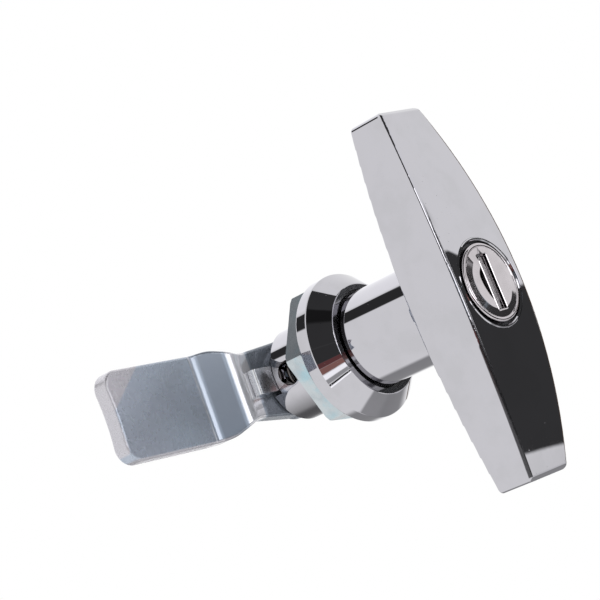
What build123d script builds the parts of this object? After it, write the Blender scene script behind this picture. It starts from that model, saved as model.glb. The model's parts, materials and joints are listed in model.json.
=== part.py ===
from build123d import *
import math
import os

# T-handle lock, in millimetres. The lock axis is Y, and the panel's face is the plane Y = 0.
# The grip stands in front of it, at negative Y, with its bar along Z. The cam points along -X.

# Handle casting
HANDLE_REACH = 35.0
GRIP_LENGTH = 70.6
GRIP_MIDDLE_WIDTH = 20.6
GRIP_END_WIDTH = 12.2
GRIP_THICKNESS = 11.4
GRIP_CROWN = 3.8
GRIP_CORNER = 1.2
GRIP_EDGE = 0.8
GRIP_END_BEVEL = 0.7
GRIP_END_DROP = 0.9
GRIP_BACK_EDGE = 0.4
NECK_RADIUS = 9.3
NECK_ROOT = 0.8
NECK_END_WALL = 0.9
SHAFT_RADIUS = 5.0
SQUARE_SIDE = 7.0
SQUARE_SHORTFALL = 0.4
TAIL_SKEW = 3.4

# Bezel and barrel
BEZEL_RADIUS = 14.2
BEZEL_RIM = 2.6
BEZEL_HEIGHT = 6.3
NOSE_RADIUS = 10.9
BEZEL_EDGE = 0.3
SOCKET_GAP = 0.5
SOCKET_DEPTH = 5.8
THREAD_RADIUS = 9.5
THREAD_PITCH = 1.2
THREAD_DEPTH = 0.6
THREAD_CREST = 0.36
THREAD_TURNS = 5
THREAD_START = 0.6
BARREL_RADIUS = 8.75
BARREL_LENGTH = 12.5
BARREL_EDGE = 0.25
JOURNAL_LENGTH = 5.5
CAVITY_RADIUS = 7.0
SIDE_HOLE_RADIUS = 2.4
SIDE_HOLE_DEPTH = 8.75
SIDE_HOLE_TURN = 2.0
LUG_HEIGHT = 1.9
HANDLE_TURN = 90.0
LUG_SLACK = 1.0

# Nut on the barrel
NUT_ACROSS_FLATS = 24.0
NUT_THICKNESS = 4.2
NUT_CHAMFER = 0.5
NUT_CORNER_SHARE = 0.25
NUT_CORNER_DROP = 0.35
NUT_TURN = 52.7

# Seal and thrust washer round the neck
SEAL_WIDTH = 0.8
SEAL_SETBACK = 0.8
SEAL_BITE = 0.5
THRUST_THICKNESS = 0.35

# Lock cylinder
FLANGE_RADIUS = 8.6
FLANGE_THICKNESS = 1.4
FLANGE_LIP = 0.55
FLANGE_EDGE = 0.18
FLANGE_FLOOR = 0.35
SHELL_RADIUS = 7.65
PLUG_RADIUS = 6.0
PLUG_CLEARANCE = 0.05
CAP_RADIUS = 7.5
CAP_PROUD = 0.4
CAP_THICKNESS = 0.85
CAP_FLAT_RADIUS = 5.2
CAP_SLOPE_RADIUS = 6.65
CAP_SLOPE_DROP = 0.22
CAP_BEAD_RISE = 0.08
CAP_EDGE = 0.5
CAP_SKIRT = 0.35
SLOT_LENGTH = 10.5
SLOT_WIDTH = 2.6
KEYWAY_WIDTH = 2.4
KEYWAY_HEIGHT = 8.8
PLUG_TAIL_RADIUS = 3.5
TAIL_GUIDE = 6.0
PLUG_GROOVE = 1.0
CLIP_THICKNESS = 0.7
CLIP_RADIUS = 7.0
PLUG_SHOULDER = 0.7
SHELL_PIN_RADIUS = 1.0
SHELL_PIN_SETBACK = 2.1

# Dust shutter behind the cap
SHUTTER_LENGTH = 9.8
SHUTTER_THICKNESS = 0.5
SHUTTER_OVERLAP = 0.2
SHUTTER_KNUCKLE = 0.75
SHUTTER_TUCK = 0.15
SHUTTER_PIN_RADIUS = 0.4
SHUTTER_PIN_LENGTH = 10.8
SHUTTER_COIL_WIRE = 0.3
SHUTTER_COIL_TURNS = 3

# Wafers in the plug
WAFER_COUNT = 5
WAFER_PITCH = 2.4
WAFER_SETBACK = 6.6
WAFER_THICKNESS = 1.0
WAFER_WIDTH = 5.0
WAFER_HEIGHT = 10.7
WAFER_TRAVEL = 0.8
WAFER_EAR = 1.7
WAFER_EAR_HEIGHT = 1.2
WAFER_WINDOW_STEP = 0.35
WAFER_WINDOW_HEIGHT = 6.2
WAFER_COIL_RADIUS = 0.38
WAFER_COIL_WIRE = 0.22
WAFER_COIL_TURNS = 5
WAFER_COIL_LENGTH = 2.3

# Lock bolt driven by the plug's eccentric pin
BOLT_THROW = 1.6
BOLT_THICKNESS = 2.4
BOLT_HEIGHT = 6.8
BOLT_BACK = 4.0
ECCENTRIC_RADIUS = 1.0
ECCENTRIC_LENGTH = 1.9
ECCENTRIC_LEAD = 0.45
BOLT_POCKET_FLOOR = 0.35

# Spring round the shaft
SPRING_WIRE = 0.8
SPRING_MEAN_RADIUS = 5.95
SPRING_TURNS = 4.5

# Stop washer, cam and its fasteners
TAB_REACH = 13.3
TAB_WIDTH = 4.9
TAB_EDGE = 0.6
STOP_THICKNESS = 1.9
CAM_THICKNESS = 3.4
CAM_HUB_RADIUS = 7.7
CAM_WAIST_WIDTH = 12.6
CAM_WAIST_END = 13.4
CAM_BLADE_START = 18.4
CAM_BLEND = 5.0
CAM_BLADE_WIDTH = 17.15
CAM_LENGTH = 45.5
CAM_END_HOLLOW = 0.9
CAM_CORNER = 3.3
CAM_EDGE = 0.5
CAM_BEND_START = 15.4
CAM_BEND_END = 21.4
CAM_OFFSET = 4.5
CAM_OUTER_BEND = 4.8
CAM_INNER_BEND = 2.4
CAM_WASHER_RADIUS = 5.5
CAM_WASHER_THICKNESS = 1.0
LOCK_WASHER_RADIUS = 4.4
LOCK_WASHER_THICKNESS = 1.2
LOCK_WASHER_SPLIT = 0.8
BOLT_SHANK_RADIUS = 2.5
BOLT_SHANK_LENGTH = 10.0
BOLT_HEAD_FLATS = 8.0
BOLT_HEAD_HEIGHT = 3.5
BOLT_HEAD_CHAMFER = 0.3

# Clearances
SLIP = 0.05
FREE = 0.1
CAM_GAP = 0.2
THROUGH = 1.0
NEAR = 0.01

# Depths along the lock axis that follow from the sizes above
grip_front = -HANDLE_REACH
grip_back = grip_front + GRIP_THICKNESS
nose = -BEZEL_HEIGHT
socket_radius = NECK_RADIUS + SOCKET_GAP
socket_floor = nose + SOCKET_DEPTH
neck_end = socket_floor - THRUST_THICKNESS - 2 * SLIP
bolt_rear = neck_end - NECK_END_WALL - FREE
bolt_front = bolt_rear - BOLT_THICKNESS
bolt_slot_front = bolt_front - FREE
bolt_slot_rear = bolt_rear + FREE
eccentric_end = bolt_slot_front + ECCENTRIC_LENGTH
seal_start = nose + SEAL_SETBACK
seal_end = seal_start + SEAL_WIDTH
cylinder_floor = bolt_slot_front - TAIL_GUIDE
shell_end = cylinder_floor - PLUG_SHOULDER - CLIP_THICKNESS - 3 * FREE
clip_start = shell_end + FREE
clip_end = clip_start + CLIP_THICKNESS
plug_end = clip_end + PLUG_SHOULDER
flange_back = grip_front + FLANGE_THICKNESS
recess_floor = flange_back - FLANGE_FLOOR
cap_crest = grip_front - CAP_PROUD
head_front = cap_crest + CAP_THICKNESS
head_back = recess_floor - SLIP
shutter_front = head_front + FREE
shutter_axis_depth = shutter_front + SHUTTER_KNUCKLE
shutter_axis_x = SLOT_WIDTH / 2 + SHUTTER_KNUCKLE - SHUTTER_TUCK
shutter_reach = shutter_axis_x + SLOT_WIDTH / 2 + SHUTTER_OVERLAP
shutter_pocket_floor = shutter_axis_depth + shutter_reach + 2 * FREE
first_wafer = grip_front + WAFER_SETBACK
barrel_end = BARREL_LENGTH
lug_end = barrel_end + LUG_HEIGHT
stop_front = barrel_end + FREE
stop_back = stop_front + STOP_THICKNESS
cam_front = lug_end + CAM_GAP
cam_back = cam_front + CAM_THICKNESS
square_end = cam_back - SQUARE_SHORTFALL
cam_washer_back = cam_back + CAM_WASHER_THICKNESS
head_seat = cam_washer_back + LOCK_WASHER_THICKNESS
spring_start = JOURNAL_LENGTH + FREE
spring_end = stop_front - FREE


def disc(radius, start, end):
    """A round bar on the lock axis between two depths."""
    return Pos(0, (start + end) / 2, 0) * Rot(90, 0, 0) * Cylinder(radius, end - start)


def ring(outer, inner, start, end):
    """A washer on the lock axis."""
    return disc(outer, start, end) - disc(inner, start - THROUGH, end + THROUGH)


def block(x, y, z):
    """A box between pairs of lowest and highest values."""
    size = Box(x[1] - x[0], y[1] - y[0], z[1] - z[0])
    return Pos((x[0] + x[1]) / 2, (y[0] + y[1]) / 2, (z[0] + z[1]) / 2) * size


def turned(outline):
    """A solid of revolution about the lock axis, from a closed line in (radius, depth)."""
    return revolve(make_face(outline), Axis.Y)


def hexagon(across_flats, start, end):
    """A hexagonal bar on the lock axis."""
    outline = RegularPolygon(across_flats / 2, 6, major_radius=False)
    return extrude(Plane((0, end, 0), x_dir=(1, 0, 0), z_dir=(0, -1, 0)) * outline, end - start)


def square_bar(side, start, end):
    """A square bar on the lock axis, turned by the tail's skew."""
    bar = block((-side / 2, side / 2), (start, end), (-side / 2, side / 2))
    return Rot(0, TAIL_SKEW, 0) * bar


def coil(mean_radius, wire, turns, length):
    """A helical spring along Z from the origin, swept on pairs of tangent arcs per quarter turn."""
    rise = length - wire
    quarters = round(turns * 4)

    def at(step):
        angle = step * turns * 2 * math.pi / quarters
        height = wire / 2 + rise * step / quarters
        point = Vector(mean_radius * math.cos(angle), mean_radius * math.sin(angle), height)
        slope = rise / (turns * 2 * math.pi)
        along = Vector(-mean_radius * math.sin(angle), mean_radius * math.cos(angle), slope)
        return point, along.normalized()

    edges = []
    for step in range(quarters):
        start, start_way = at(step)
        end, end_way = at(step + 1)
        chord = end - start
        ways = start_way + end_way
        bend = 2 * (1 - start_way.dot(end_way))
        root = math.sqrt(chord.dot(ways) ** 2 + bend * chord.dot(chord))
        reach = (root - chord.dot(ways)) / bend
        first = start + start_way * reach
        second = end - end_way * reach
        middle = (first + second) * 0.5
        edges.append(Edge.make_tangent_arc(start, start_way, middle))
        edges.append(Edge.make_tangent_arc(middle, (second - first).normalized(), end))
    start, start_way = at(0)
    section = Plane(start, z_dir=start_way) * Circle(wire / 2)
    return sweep(section, path=Wire(edges))


def coil_gap(wire, turns, length):
    """The open distance between neighbouring turns of a spring."""
    return (length - wire) / turns - wire


def grip_bar():
    """The bar: curved sides, crowned front and flat back, with softened edges."""
    half = GRIP_LENGTH / 2
    wide = GRIP_MIDDLE_WIDTH / 2
    narrow = GRIP_END_WIDTH / 2
    right = ThreePointArc((narrow, -half), (wide, 0), (narrow, half))
    left = ThreePointArc((-narrow, half), (-wide, 0), (-narrow, -half))
    top = Line((narrow, half), (-narrow, half))
    bottom = Line((-narrow, -half), (narrow, -half))
    plan = make_face([right, top, left, bottom])
    bar = extrude(Plane.XZ * plan, -grip_front + THROUGH)
    end_front = grip_front + GRIP_CROWN
    end_corner = end_front + GRIP_END_DROP
    reach = half - GRIP_END_BEVEL
    crown = ThreePointArc((end_front, -reach), (grip_front, 0), (end_front, reach))
    outline = [(end_front, reach), (end_corner, half), (grip_back, half),
               (grip_back, -half), (end_corner, -half), (end_front, -reach)]
    side = make_face([crown, Polyline(*outline)])
    bar = bar & extrude(Plane.YZ * side, GRIP_MIDDLE_WIDTH, both=True)
    corners = [edge for edge in bar.edges().filter_by(Axis.Y) if abs(edge.center().Z) > half / 2]
    bar = fillet(corners, GRIP_CORNER)
    front = bar.faces().sort_by(Axis.Y)[0]
    bar = fillet(front.edges(), GRIP_EDGE)
    rear = bar.faces().sort_by(Axis.Y)[-1]
    return fillet(rear.edges(), GRIP_BACK_EDGE)


def t_handle():
    """Grip, neck, shaft and square tail in one casting, bored for the lock cylinder and bolt."""
    neck = disc(NECK_RADIUS, grip_back - THROUGH, neck_end)
    body = grip_bar() + neck
    roots = [edge for edge in body.edges().filter_by(GeomType.CIRCLE)
             if abs(edge.center().Y - grip_back) < NEAR and abs(edge.radius - NECK_RADIUS) < NEAR]
    body = fillet(roots, NECK_ROOT)
    body += disc(SHAFT_RADIUS, neck_end - SLIP, stop_front)
    body += square_bar(SQUARE_SIDE, stop_front - SLIP, square_end)
    body -= disc(FLANGE_RADIUS + SLIP, grip_front - THROUGH, flange_back + SLIP)
    body -= disc(SHELL_RADIUS + SLIP, grip_front, cylinder_floor)
    body -= disc(PLUG_TAIL_RADIUS + SLIP, cylinder_floor - THROUGH, bolt_slot_front + THROUGH)
    half = BOLT_HEIGHT / 2 + FREE
    slot = (bolt_slot_front, bolt_slot_rear)
    body -= block((-BOLT_BACK - FREE, NECK_RADIUS + THROUGH), slot, (-half, half))
    body -= shell_pin_bar(SHELL_PIN_RADIUS + SLIP, SHELL_RADIUS, NECK_RADIUS + THROUGH)
    body -= disc(BOLT_SHANK_RADIUS + SLIP, head_seat - BOLT_SHANK_LENGTH - FREE, square_end + THROUGH)
    return body


def shell_pin_bar(radius, inner, outer):
    """A round bar along X where the pin holds the shell in the neck."""
    centre = shell_end - SHELL_PIN_SETBACK
    return Pos((inner + outer) / 2, centre, 0) * Rot(0, 90, 0) * Cylinder(radius, outer - inner)


def cylinder_pin():
    """The pin through the neck's wall, ground flush with the neck."""
    pin = shell_pin_bar(SHELL_PIN_RADIUS, shell_pin_depth() + SLIP, NECK_RADIUS)
    return pin & disc(NECK_RADIUS - SLIP, grip_back, neck_end)


def shell_pin_depth():
    """How far in the pin's hole reaches, half way through the shell's wall."""
    return (SHELL_RADIUS + PLUG_RADIUS + PLUG_CLEARANCE) / 2


def groove_depth():
    """Radius that the wafers' grooves reach in the shell."""
    return WAFER_HEIGHT / 2 + WAFER_TRAVEL + 3 * FREE


def last_wafer():
    """Depth of the middle of the last wafer."""
    return first_wafer + (WAFER_COUNT - 1) * WAFER_PITCH


def cylinder_shell():
    """The cylinder's shell, with grooves for the wafers at both positions of the plug."""
    body = disc(FLANGE_RADIUS, grip_front, flange_back)
    body += disc(SHELL_RADIUS, flange_back - SLIP, shell_end)
    body -= disc(PLUG_RADIUS + PLUG_CLEARANCE, grip_front - THROUGH, shell_end + THROUGH)
    body -= disc(FLANGE_RADIUS - FLANGE_LIP, grip_front - THROUGH, recess_floor)
    half = WAFER_WIDTH / 2 + 2 * FREE
    span = (first_wafer - WAFER_THICKNESS, last_wafer() + WAFER_THICKNESS)
    deep = groove_depth()
    body -= block((-half, half), span, (-deep, deep))
    body -= block((-deep, deep), span, (-half, half))
    body -= shell_pin_bar(SHELL_PIN_RADIUS + SLIP, shell_pin_depth(), SHELL_RADIUS + THROUGH)
    rim = [edge for edge in body.edges().filter_by(GeomType.CIRCLE)
           if abs(edge.center().Y - grip_front) < NEAR]
    return chamfer(rim, FLANGE_EDGE)


def slot_block(width, length, start, end):
    """A key slot's space on the lock axis."""
    return block((-width / 2, width / 2), (start, end), (-length / 2, length / 2))


def plug():
    """The key plug: head, wafer slots, keyway, clip groove, tail and eccentric pin."""
    body = disc(PLUG_RADIUS, head_back - SLIP, plug_end)
    body += disc(CAP_RADIUS - CAP_SKIRT - SLIP, head_front, head_back)
    body -= ring(PLUG_RADIUS + THROUGH, PLUG_RADIUS - PLUG_GROOVE, clip_start - SLIP, clip_end + SLIP)
    body += disc(PLUG_TAIL_RADIUS, plug_end - SLIP, bolt_slot_front - SLIP)
    pin = disc(ECCENTRIC_RADIUS, bolt_slot_front - 2 * SLIP, eccentric_end)
    body += Pos(0, 0, BOLT_THROW) * pin
    reach = last_wafer() + WAFER_PITCH
    body -= slot_block(KEYWAY_WIDTH, KEYWAY_HEIGHT, head_front - THROUGH, reach)
    body -= shutter_pocket()
    body -= shutter_pin_bar(SHUTTER_PIN_RADIUS + SLIP, SHUTTER_PIN_LENGTH + 2 * SLIP)
    for index in range(WAFER_COUNT):
        body -= wafer_space(first_wafer + index * WAFER_PITCH)
    return body


def wafer_space(depth):
    """The slot for one wafer, with the side chamber for its ear and spring."""
    half = WAFER_THICKNESS / 2 + SLIP
    wide = WAFER_WIDTH / 2 + SLIP
    slot = block((-wide, wide), (depth - half, depth + half), (-PLUG_RADIUS - THROUGH, PLUG_RADIUS + THROUGH))
    ear = WAFER_WIDTH / 2 + WAFER_EAR + FREE
    low = -WAFER_EAR_HEIGHT / 2 - WAFER_COIL_LENGTH - 2 * SLIP
    high = WAFER_EAR_HEIGHT / 2 + WAFER_TRAVEL + FREE
    return slot + block((0, ear), (depth - half, depth + half), (low, high))


def wafer(index):
    """One wafer: a plate with a key window, cut at its own height, and a spring ear."""
    depth = first_wafer + index * WAFER_PITCH
    half = WAFER_THICKNESS / 2
    span = (depth - half, depth + half)
    wide = WAFER_WIDTH / 2
    body = block((-wide, wide), span, (-WAFER_HEIGHT / 2, WAFER_HEIGHT / 2))
    ear = WAFER_EAR_HEIGHT / 2
    body += block((0, wide + WAFER_EAR), span, (-ear, ear))
    middle = WAFER_WINDOW_STEP * (index * 2 % WAFER_COUNT - WAFER_COUNT // 2)
    window = slot_block(KEYWAY_WIDTH + 2 * FREE, WAFER_WINDOW_HEIGHT, span[0] - THROUGH, span[1] + THROUGH)
    return body - Pos(0, 0, middle) * window


def wafer_springs():
    """One coil under each wafer's ear."""
    coils = []
    across = WAFER_WIDTH / 2 + WAFER_EAR / 2
    low = -WAFER_EAR_HEIGHT / 2 - WAFER_COIL_LENGTH - SLIP
    for index in range(WAFER_COUNT):
        spring = coil(WAFER_COIL_RADIUS, WAFER_COIL_WIRE, WAFER_COIL_TURNS, WAFER_COIL_LENGTH)
        coils.append(Pos(across, first_wafer + index * WAFER_PITCH, low) * spring)
    return Compound(coils)


def plug_cap():
    """The face of the plug: raised middle, slope, rounded bead, skirt and key slot."""
    slope_end = cap_crest + CAP_SLOPE_DROP
    bead = (CAP_SLOPE_RADIUS + CAP_RADIUS) / 2
    skirt = CAP_RADIUS - CAP_SKIRT
    lines = [
        Line((0, cap_crest), (CAP_FLAT_RADIUS, cap_crest)),
        Line((CAP_FLAT_RADIUS, cap_crest), (CAP_SLOPE_RADIUS, slope_end)),
        ThreePointArc((CAP_SLOPE_RADIUS, slope_end), (bead, slope_end - CAP_BEAD_RISE),
                      (CAP_RADIUS, cap_crest + CAP_EDGE)),
        Line((CAP_RADIUS, cap_crest + CAP_EDGE), (CAP_RADIUS, head_back - SLIP)),
        Line((CAP_RADIUS, head_back - SLIP), (skirt, head_back - SLIP)),
        Line((skirt, head_back - SLIP), (skirt, head_front - SLIP)),
        Line((skirt, head_front - SLIP), (0, head_front - SLIP)),
        Line((0, head_front - SLIP), (0, cap_crest)),
    ]
    return turned(lines) - slot_block(SLOT_WIDTH, SLOT_LENGTH, cap_crest - THROUGH, head_front + THROUGH)


def shutter_pocket():
    """The space in the plug's head that the shutter swings in."""
    far = shutter_axis_x + SHUTTER_KNUCKLE + FREE
    half = SHUTTER_LENGTH / 2 + FREE
    near = shutter_axis_x - shutter_reach - FREE
    return block((near, far), (head_front - THROUGH, shutter_pocket_floor), (-half, half))


def shutter_pin_bar(radius, length):
    """A round bar on the shutter's axis."""
    return Pos(shutter_axis_x, shutter_axis_depth, 0) * Cylinder(radius, length)


def shutter_pin():
    """The shutter's pivot."""
    return shutter_pin_bar(SHUTTER_PIN_RADIUS, SHUTTER_PIN_LENGTH)


def shutter_coil_length():
    """Room that the closing spring takes beside the knuckle."""
    return SHUTTER_COIL_TURNS * (SHUTTER_COIL_WIRE + FREE) + SHUTTER_COIL_WIRE


def dust_shutter():
    """The flap that closes the key slot, with its knuckle."""
    half = SHUTTER_LENGTH / 2
    far = shutter_axis_x - shutter_reach
    back = shutter_front + SHUTTER_THICKNESS
    body = block((far, shutter_axis_x), (shutter_front, back), (-half, half))
    knuckle = SHUTTER_LENGTH - 2 * shutter_coil_length()
    body += shutter_pin_bar(SHUTTER_KNUCKLE, knuckle)
    inside = shutter_axis_x - SHUTTER_KNUCKLE - FREE
    notch = half - knuckle / 2
    for side in (-1, 1):
        middle = side * (half - notch / 2)
        span = (middle - notch / 2, middle + notch / 2)
        body -= block((inside, shutter_axis_x + THROUGH), (shutter_front - THROUGH, back + THROUGH), span)
    return body - shutter_pin_bar(SHUTTER_PIN_RADIUS + SLIP, SHUTTER_LENGTH)


def shutter_spring():
    """The closing coil round the pivot, beside the knuckle."""
    mean = SHUTTER_PIN_RADIUS + SHUTTER_COIL_WIRE / 2 + SLIP
    length = shutter_coil_length() - 2 * SLIP
    bottom = SHUTTER_LENGTH / 2 - shutter_coil_length() + SLIP
    spring = coil(mean, SHUTTER_COIL_WIRE, SHUTTER_COIL_TURNS, length)
    return Pos(shutter_axis_x, shutter_axis_depth, bottom) * spring


def plug_clip():
    """The open ring behind the shell that keeps the plug in."""
    body = ring(CLIP_RADIUS, PLUG_RADIUS - PLUG_GROOVE + SLIP, clip_start, clip_end)
    return body - block((-CLIP_RADIUS, 0), (clip_start - THROUGH, clip_end + THROUGH), (-THROUGH, THROUGH))


def lock_bolt():
    """The bolt, its nose rounded like the neck, with a groove for the eccentric pin."""
    half = BOLT_HEIGHT / 2
    body = block((-BOLT_BACK, NECK_RADIUS), (bolt_front, bolt_rear), (-half, half))
    body = body & disc(NECK_RADIUS - 2 * FREE, bolt_front - THROUGH, bolt_rear + THROUGH)
    low = -ECCENTRIC_RADIUS - FREE
    high = BOLT_THROW + ECCENTRIC_RADIUS + FREE
    wide = (-ECCENTRIC_RADIUS - SLIP, ECCENTRIC_RADIUS + ECCENTRIC_LEAD)
    return body - block(wide, (bolt_front - THROUGH, eccentric_end + FREE), (low, high))


def bezel_outline():
    """Half section of the bezel, its thread and barrel, in (radius, depth)."""
    points = [
        (socket_radius, nose),
        (NOSE_RADIUS, nose),
        (BEZEL_RADIUS, -BEZEL_RIM),
        (BEZEL_RADIUS, 0),
        (THREAD_RADIUS - THREAD_DEPTH, 0),
    ]
    flank = (THREAD_PITCH - 2 * THREAD_CREST) / 2
    for turn in range(THREAD_TURNS):
        start = THREAD_START + turn * THREAD_PITCH
        points.append((THREAD_RADIUS - THREAD_DEPTH, start))
        points.append((THREAD_RADIUS, start + flank))
        points.append((THREAD_RADIUS, start + flank + THREAD_CREST))
        points.append((THREAD_RADIUS - THREAD_DEPTH, start + 2 * flank + THREAD_CREST))
    end = THREAD_START + THREAD_TURNS * THREAD_PITCH
    points += [
        (BARREL_RADIUS, end),
        (BARREL_RADIUS, barrel_end - BARREL_EDGE),
        (BARREL_RADIUS - BARREL_EDGE, barrel_end),
        (CAVITY_RADIUS, barrel_end),
        (CAVITY_RADIUS, JOURNAL_LENGTH),
        (SHAFT_RADIUS + SLIP, JOURNAL_LENGTH),
        (SHAFT_RADIUS + SLIP, socket_floor),
        (socket_radius, socket_floor),
    ]
    return Polyline(*points, close=True)


def stop_lug():
    """The raised part of the barrel's rear end, open where the stop washer's tab travels."""
    swept = math.degrees(math.asin(TAB_WIDTH / 2 / CAVITY_RADIUS)) + LUG_SLACK
    open_arc = HANDLE_TURN + 2 * swept
    start = barrel_end - BARREL_EDGE - SLIP
    body = turned(Polyline((CAVITY_RADIUS, start), (BARREL_RADIUS, start),
                           (BARREL_RADIUS, lug_end - BARREL_EDGE), (BARREL_RADIUS - BARREL_EDGE, lug_end),
                           (CAVITY_RADIUS, lug_end), close=True))
    sector = Plane.XZ * make_face([
        Line((0, 0), polar(2 * BARREL_RADIUS, 0)),
        ThreePointArc(polar(2 * BARREL_RADIUS, 0), polar(2 * BARREL_RADIUS, open_arc / 2),
                      polar(2 * BARREL_RADIUS, open_arc)),
        Line(polar(2 * BARREL_RADIUS, open_arc), (0, 0)),
    ])
    wedge = Pos(0, lug_end + THROUGH, 0) * extrude(sector, LUG_HEIGHT + 2 * THROUGH)
    first = HANDLE_TURN - TAIL_SKEW - swept
    return body - Rot(0, -first, 0) * wedge


def polar(radius, angle):
    """A point at an angle in degrees."""
    return (radius * math.cos(math.radians(angle)), radius * math.sin(math.radians(angle)))


def bezel_housing():
    """Bezel, threaded barrel, side hole, bolt pockets, seal groove and stop lug."""
    body = turned(bezel_outline())
    edges = [edge for edge in body.edges().filter_by(GeomType.CIRCLE) if is_bezel_edge(edge)]
    body = fillet(edges, BEZEL_EDGE)
    body += stop_lug()
    body -= ring(socket_radius + SEAL_BITE, socket_radius - SLIP, seal_start - SLIP, seal_end + SLIP)
    half = BOLT_HEIGHT / 2 + 2 * FREE
    deep = NECK_RADIUS - 2 * FREE + BOLT_THROW + BOLT_POCKET_FLOOR
    span = (bolt_slot_front - FREE, bolt_slot_rear + FREE)
    body -= block((0, deep), span, (-half, half))
    body -= block((-half, half), span, (-deep, 0))
    hole = Rot(0, 90, 0) * Cylinder(SIDE_HOLE_RADIUS, BARREL_RADIUS)
    return body - Rot(0, SIDE_HOLE_TURN, 0) * Pos(-BARREL_RADIUS, SIDE_HOLE_DEPTH, 0) * hole


def is_bezel_edge(edge):
    """Whether a round edge is one of the bezel's outer ones."""
    places = ((NOSE_RADIUS, nose), (BEZEL_RADIUS, -BEZEL_RIM), (BEZEL_RADIUS, 0))
    return any(math.hypot(edge.radius - radius, edge.center().Y - depth) < NEAR for radius, depth in places)


def neck_seal():
    """The dark ring in the gap round the neck."""
    return ring(socket_radius + SEAL_BITE - SLIP, NECK_RADIUS + FREE, seal_start, seal_end)


def thrust_washer():
    """The thin washer between the neck's end and the socket's floor."""
    return ring(socket_radius - 2 * FREE, SHAFT_RADIUS + 2 * FREE, neck_end + SLIP, socket_floor - SLIP)


def mounting_nut():
    """The hex nut on the barrel, its corners turned away at both faces."""
    body = hexagon(NUT_ACROSS_FLATS, FREE, FREE + NUT_THICKNESS)
    body = Rot(0, -NUT_TURN, 0) * body
    corner = NUT_ACROSS_FLATS / 2 / math.cos(math.pi / 6)
    start = FREE
    end = FREE + NUT_THICKNESS
    slope = (corner - NUT_ACROSS_FLATS / 2) * NUT_CORNER_SHARE
    outline = Polyline((0, start), (corner - slope, start), (corner + SLIP, start + NUT_CORNER_DROP),
                       (corner + SLIP, end - NUT_CORNER_DROP), (corner - slope, end), (0, end), close=True)
    body = body & turned(outline)
    body -= disc(THREAD_RADIUS + SLIP, start - THROUGH, end + THROUGH)
    rims = [edge for edge in body.edges().filter_by(GeomType.CIRCLE)
            if abs(edge.radius - THREAD_RADIUS) < 2 * SLIP]
    return chamfer(rims, NUT_CHAMFER)


def barrel_spring():
    """The coil round the shaft that keeps the grip drawn against the bezel."""
    spring = coil(SPRING_MEAN_RADIUS, SPRING_WIRE, SPRING_TURNS, spring_end - spring_start)
    return Pos(0, spring_start, 0) * Rot(-90, 0, 0) * spring


def stop_washer():
    """The washer on the square tail, with the tab that meets the lug."""
    body = disc(CAVITY_RADIUS - 3 * FREE, stop_front, stop_back)
    half = TAB_WIDTH / 2
    tab = block((-TAB_REACH, 0), (stop_front, stop_back), (-half, half))
    ends = [edge for edge in tab.edges().filter_by(Axis.Z) if edge.center().X < -half]
    tab = fillet(ends, TAB_EDGE)
    body += Rot(0, TAIL_SKEW, 0) * tab
    return body - square_bar(SQUARE_SIDE + 2 * SLIP, stop_front - THROUGH, stop_back + THROUGH)


def cam_side():
    """The cam's section along its length: hub, sloped step and blade."""
    angle = math.atan2(CAM_OFFSET, CAM_BEND_END - CAM_BEND_START)
    shift = CAM_THICKNESS * math.tan(angle / 2)
    far = CAM_LENGTH + THROUGH
    hub = -CAM_HUB_RADIUS - THROUGH
    front = FilletPolyline((hub, cam_front), (CAM_BEND_START, cam_front),
                           (CAM_BEND_END, cam_front + CAM_OFFSET), (far, cam_front + CAM_OFFSET),
                           radius=[CAM_OUTER_BEND, CAM_INNER_BEND])
    back = FilletPolyline((hub, cam_back), (CAM_BEND_START - shift, cam_back),
                          (CAM_BEND_END - shift, cam_back + CAM_OFFSET), (far, cam_back + CAM_OFFSET),
                          radius=[CAM_OUTER_BEND - CAM_THICKNESS, CAM_INNER_BEND + CAM_THICKNESS])
    ends = [Line((hub, cam_front), (hub, cam_back)),
            Line((far, cam_front + CAM_OFFSET), (far, cam_back + CAM_OFFSET))]
    return make_face([*front.edges(), *back.edges(), *ends])


def cam_plan():
    """The cam's outline: round hub, waist at the bend, blade with a hollow end."""
    waist = CAM_WAIST_WIDTH / 2
    blade = CAM_BLADE_WIDTH / 2
    tangent = math.acos(waist / CAM_HUB_RADIUS) / 2
    touch_x = CAM_HUB_RADIUS * math.sin(tangent)
    touch_z = CAM_HUB_RADIUS * math.cos(tangent)
    points = [(touch_x, touch_z), (CAM_WAIST_END, waist), (CAM_BLADE_START, blade), (CAM_LENGTH, blade)]
    upper = [Line(start, end) for start, end in zip(points, points[1:])]
    lower = [mirror(line, about=Plane.XZ) for line in upper]
    hub = ThreePointArc((touch_x, touch_z), (-CAM_HUB_RADIUS, 0), (touch_x, -touch_z))
    end = ThreePointArc((CAM_LENGTH, blade), (CAM_LENGTH - CAM_END_HOLLOW, 0), (CAM_LENGTH, -blade))
    face = make_face([*upper, end, *lower, hub])
    tips = [vertex for vertex in face.vertices() if vertex.X > CAM_LENGTH - NEAR]
    face = fillet(tips, CAM_CORNER)
    kinks = [vertex for vertex in face.vertices()
             if CAM_WAIST_END - NEAR < vertex.X < CAM_BLADE_START + NEAR]
    return fillet(kinks, CAM_BLEND)


def cam():
    """The joggled cam on the square tail, pointing along -X with the tail's skew."""
    side = extrude(cam_side(), CAM_BLADE_WIDTH, both=True)
    depth = CAM_THICKNESS + CAM_OFFSET + 2 * THROUGH
    plan = Pos(0, cam_front - THROUGH + depth, 0) * extrude(Plane.XZ * cam_plan(), depth)
    body = side & plan
    outline = [edge for edge in body.edges()
               if edge.geom_type != GeomType.LINE or abs((edge @ 1 - edge @ 0).X) > NEAR]
    body = Rot(0, 180 + TAIL_SKEW, 0) * fillet(outline, CAM_EDGE)
    return body - square_bar(SQUARE_SIDE + 2 * SLIP, cam_front - THROUGH, cam_back + THROUGH)


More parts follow.
